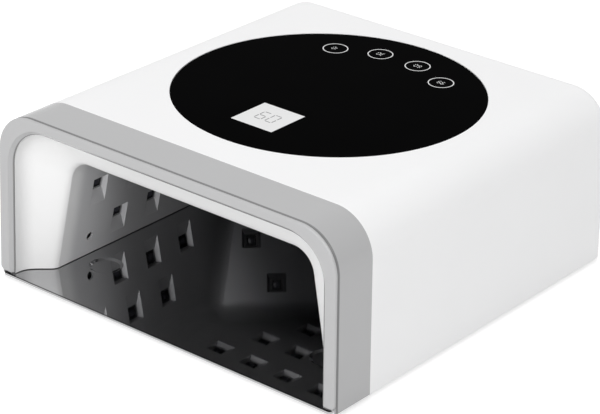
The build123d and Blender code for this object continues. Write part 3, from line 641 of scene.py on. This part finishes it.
class CURING_OT_glass(bpy.types.Operator):
    """Finish the black glass and print the key rings, their numbers and the white timer window on it"""

    bl_idname = "curing.glass"
    bl_label = "Control glass"

    def execute(self, context):
        settings = context.scene.lamp_glass
        black = Finish("glass_black").set(specular_ior_level=0.001, ior=1.45)
        black.tone(tuple(settings.glass_colour), variation=0.2, scale=30.0)
        black.sheen_change(low=0.05, high=0.09, scale=20.0)
        black.grain(scale=400.0, strength=0.01, distance=GROUND_DEPTH)
        finish_node("top_glass", black.material)
        ink = moulded("print_white", tuple(settings.print_colour), roughness=0.5, grain=0.05)
        grey_ink = moulded("print_grey", (0.16, 0.16, 0.17), roughness=0.5, grain=0.05)
        low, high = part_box("top_glass")
        middle = ((low.x + high.x) / 2, (low.y + high.y) / 2)
        top = high.z
        ink_top = top + settings.print_height
        keys = [part.mean(0) for part in loose_parts(NODES["touch_pads"].data, PAD_REACH)]
        keys = sorted((key[0], key[1]) for key in keys)
        rings = bmesh.new()
        for x, y in keys:
            add_slab(rings, circle_points(x, y, settings.ring_radius),
                     circle_points(x, y, settings.ring_radius - settings.ring_line), top, ink_top)
        numbers = bmesh.new()
        for (x, y), text in zip(keys, KEY_NUMBERS):
            add_digits(numbers, text, (x, y), settings.digit_height, KEY_LINE, top, ink_top, turned=True)
        half = settings.badge_size / 2
        bx, by = middle[0] - WINDOW_SHIFT, middle[1] - settings.badge_offset
        window = bmesh.new()
        square = [(bx + sx * half, by + sy * half) for sx, sy in ((-1, -1), (1, -1), (1, 1), (-1, 1))]
        add_slab(window, square, None, top, ink_top)
        figures = bmesh.new()
        add_digits(figures, WINDOW_NUMBER, (bx, by), settings.badge_digit_height, WINDOW_LINE, ink_top,
                   ink_top + settings.print_height / 2)
        for name, bm, material in (("key_rings", rings, ink), ("key_numbers", numbers, ink),
                                   ("timer_window", window, ink), ("timer_figures", figures, grey_ink)):
            piece = new_object(name, mesh_from(name, bm), "lamp")
            piece.data.materials.append(material)
        return {"FINISHED"}


class CURING_OT_inlet(bpy.types.Operator):
    """Finish the power inlet at the back"""

    bl_idname = "curing.inlet"
    bl_label = "Power inlet"

    def execute(self, context):
        finish_node("dc_jack", moulded("inlet_black", (0.015, 0.015, 0.015), 0.4))
        finish_node("jack_pin", metal("pin_plated", (0.66, 0.60, 0.42), 0.2))
        finish_node("jack_tabs", metal("tab_plated", (0.66, 0.64, 0.58), 0.3))
        return {"FINISHED"}


class CURING_OT_inner(bpy.types.Operator):
    """Finish the boards, screws, leads and other pieces inside the housing"""

    bl_idname = "curing.inner"
    bl_label = "Inner pieces"

    def execute(self, context):
        dark_board = moulded("board_black", (0.03, 0.03, 0.032), 0.45)
        for name in [n for n in NODES if n.endswith("_led_board")]:
            finish_node(name, dark_board)
        finish_node("control_board", moulded("board_green", (0.02, 0.14, 0.05), 0.35))
        steel = metal("screw_steel", (0.55, 0.55, 0.56), 0.3)
        for name in ("bottom_screws", "led_board_screws", "control_board_screws"):
            finish_node(name, steel)
        black = moulded("component_black", (0.02, 0.02, 0.02), 0.4)
        for name in ("display_module", "buzzer", "timer_chip", "led_driver", "power_coil", "ir_receiver",
                     "ir_emitter"):
            finish_node(name, black)
        finish_node("touch_pads", moulded("pad_foam", (0.10, 0.10, 0.10), 0.9, grain=0.5, scale=700.0))
        finish_node("glass_adhesive", moulded("tape_black", (0.03, 0.03, 0.03), 0.8))
        red = moulded("lead_red", (0.45, 0.02, 0.02), 0.45)
        finish_node("led_leads", red)
        finish_node("inlet_leads", red)
        finish_node("lead_connectors", moulded("connector_nylon", (0.75, 0.73, 0.66), 0.5))
        return {"FINISHED"}


def stage_material(name, base, lift):
    """Pale stage surface that also shows as white to the camera and in mirrors."""
    finish = Finish(name).tone((base,) * 3, variation=0.01, scale=3.0)
    finish.set(roughness=0.9, specular_ior_level=0.1)
    tree = finish.tree
    glow = tree.nodes.new("ShaderNodeEmission")
    tree.links.new(maths(tree, "MULTIPLY", seen_share(tree), lift), glow.inputs["Strength"])
    both = tree.nodes.new("ShaderNodeAddShader")
    tree.links.new(finish.shader.outputs["BSDF"], both.inputs[0])
    tree.links.new(glow.outputs["Emission"], both.inputs[1])
    tree.links.new(both.outputs["Shader"], finish.output.inputs["Surface"])
    return finish.material


def area_light(name, place, target, size, power):
    """Soft square light at a place, aimed at a target."""
    data = bpy.data.lights.new(name, "AREA")
    data.shape = "SQUARE"
    data.size = size
    data.energy = power
    light = bpy.data.objects.new(name, data)
    light.location = place
    light.rotation_euler = (Vector(target) - Vector(place)).to_track_quat("-Z", "Y").to_euler()
    bpy.context.scene.collection.objects.link(light)


class CURING_OT_stage(bpy.types.Operator):
    """Set up the camera, the pale floor, the soft lights and the world"""

    bl_idname = "curing.stage"
    bl_label = "Stage"

    def execute(self, context):
        settings = context.scene.lamp_stage
        data = bpy.data.cameras.new("camera")
        data.sensor_width = 36.0
        data.lens = settings.lens
        data.clip_end = 100.0
        camera = bpy.data.objects.new("camera", data)
        level = math.cos(settings.elevation)
        back = Vector((math.sin(settings.azimuth) * level, -math.cos(settings.azimuth) * level,
                       math.sin(settings.elevation)))
        right = Vector((0, 0, 1)).cross(back).normalized()
        up = back.cross(right)
        turn = Matrix((right, up, back)).transposed() @ Matrix.Rotation(settings.roll, 3, "Z")
        camera.matrix_world = Matrix.Translation(Vector(settings.camera_place)) @ turn.to_4x4()
        context.scene.collection.objects.link(camera)
        context.scene.camera = camera

        bm = bmesh.new()
        half = settings.floor_size / 2
        bmesh.ops.create_grid(bm, x_segments=8, y_segments=8, size=half)
        floor = bpy.data.objects.new("floor", mesh_from("floor", bm))
        floor.location.z = CAD_BOX[0].z - FLOOR_GAP
        floor.data.materials.append(stage_material("floor_pale", base=0.80, lift=0.45))
        context.scene.collection.objects.link(floor)

        world = bpy.data.worlds.new("studio")
        world.use_nodes = True
        tree = world.node_tree
        background = tree.nodes["Background"]
        level_mix = tree.nodes.new("ShaderNodeMapRange")
        level_mix.inputs["To Min"].default_value = settings.world_light
        level_mix.inputs["To Max"].default_value = 1.0
        tree.links.new(seen_share(tree), level_mix.inputs["Value"])
        tree.links.new(level_mix.outputs["Result"], background.inputs["Strength"])
        background.inputs["Color"].default_value = (1.0, 1.0, 1.0, 1.0)
        context.scene.world = world

        for light in LIGHTS:
            area_light(*light)
        context.scene.view_settings.view_transform = "Standard"
        return {"FINISHED"}


class CURING_PT_lamp(bpy.types.Panel):
    """The steps that finish the lamp"""

    bl_idname = "CURING_PT_lamp"
    bl_label = "Curing Lamp"
    bl_space_type = "VIEW_3D"
    bl_region_type = "UI"
    bl_category = "Curing Lamp"

    def draw(self, context):
        for step in STEPS:
            self.layout.operator(step.bl_idname)


STEPS = (CURING_OT_stage, CURING_OT_housing, CURING_OT_bezel, CURING_OT_liner, CURING_OT_plate,
         CURING_OT_diodes, CURING_OT_glass, CURING_OT_inlet, CURING_OT_inner)
SETTINGS = {"lamp_shell": LampShellSettings, "lamp_plate": LampPlateSettings, "lamp_glass": LampGlassSettings,
            "lamp_diodes": LampDiodeSettings, "lamp_stage": LampStageSettings}


def register():
    for name, group in SETTINGS.items():
        bpy.utils.register_class(group)
        setattr(bpy.types.Scene, name, PointerProperty(type=group))
    for step in STEPS:
        bpy.utils.register_class(step)
    bpy.utils.register_class(CURING_PT_lamp)


def unregister():
    bpy.utils.unregister_class(CURING_PT_lamp)
    for step in reversed(STEPS):
        bpy.utils.unregister_class(step)
    for name, group in reversed(SETTINGS.items()):
        delattr(bpy.types.Scene, name)
        bpy.utils.unregister_class(group)


def main():
    """Builds every piece in order."""
    register()
    for step in STEPS:
        group, name = step.bl_idname.split(".")
        getattr(getattr(bpy.ops, group), name)()


if __name__ == "__main__":
    main()
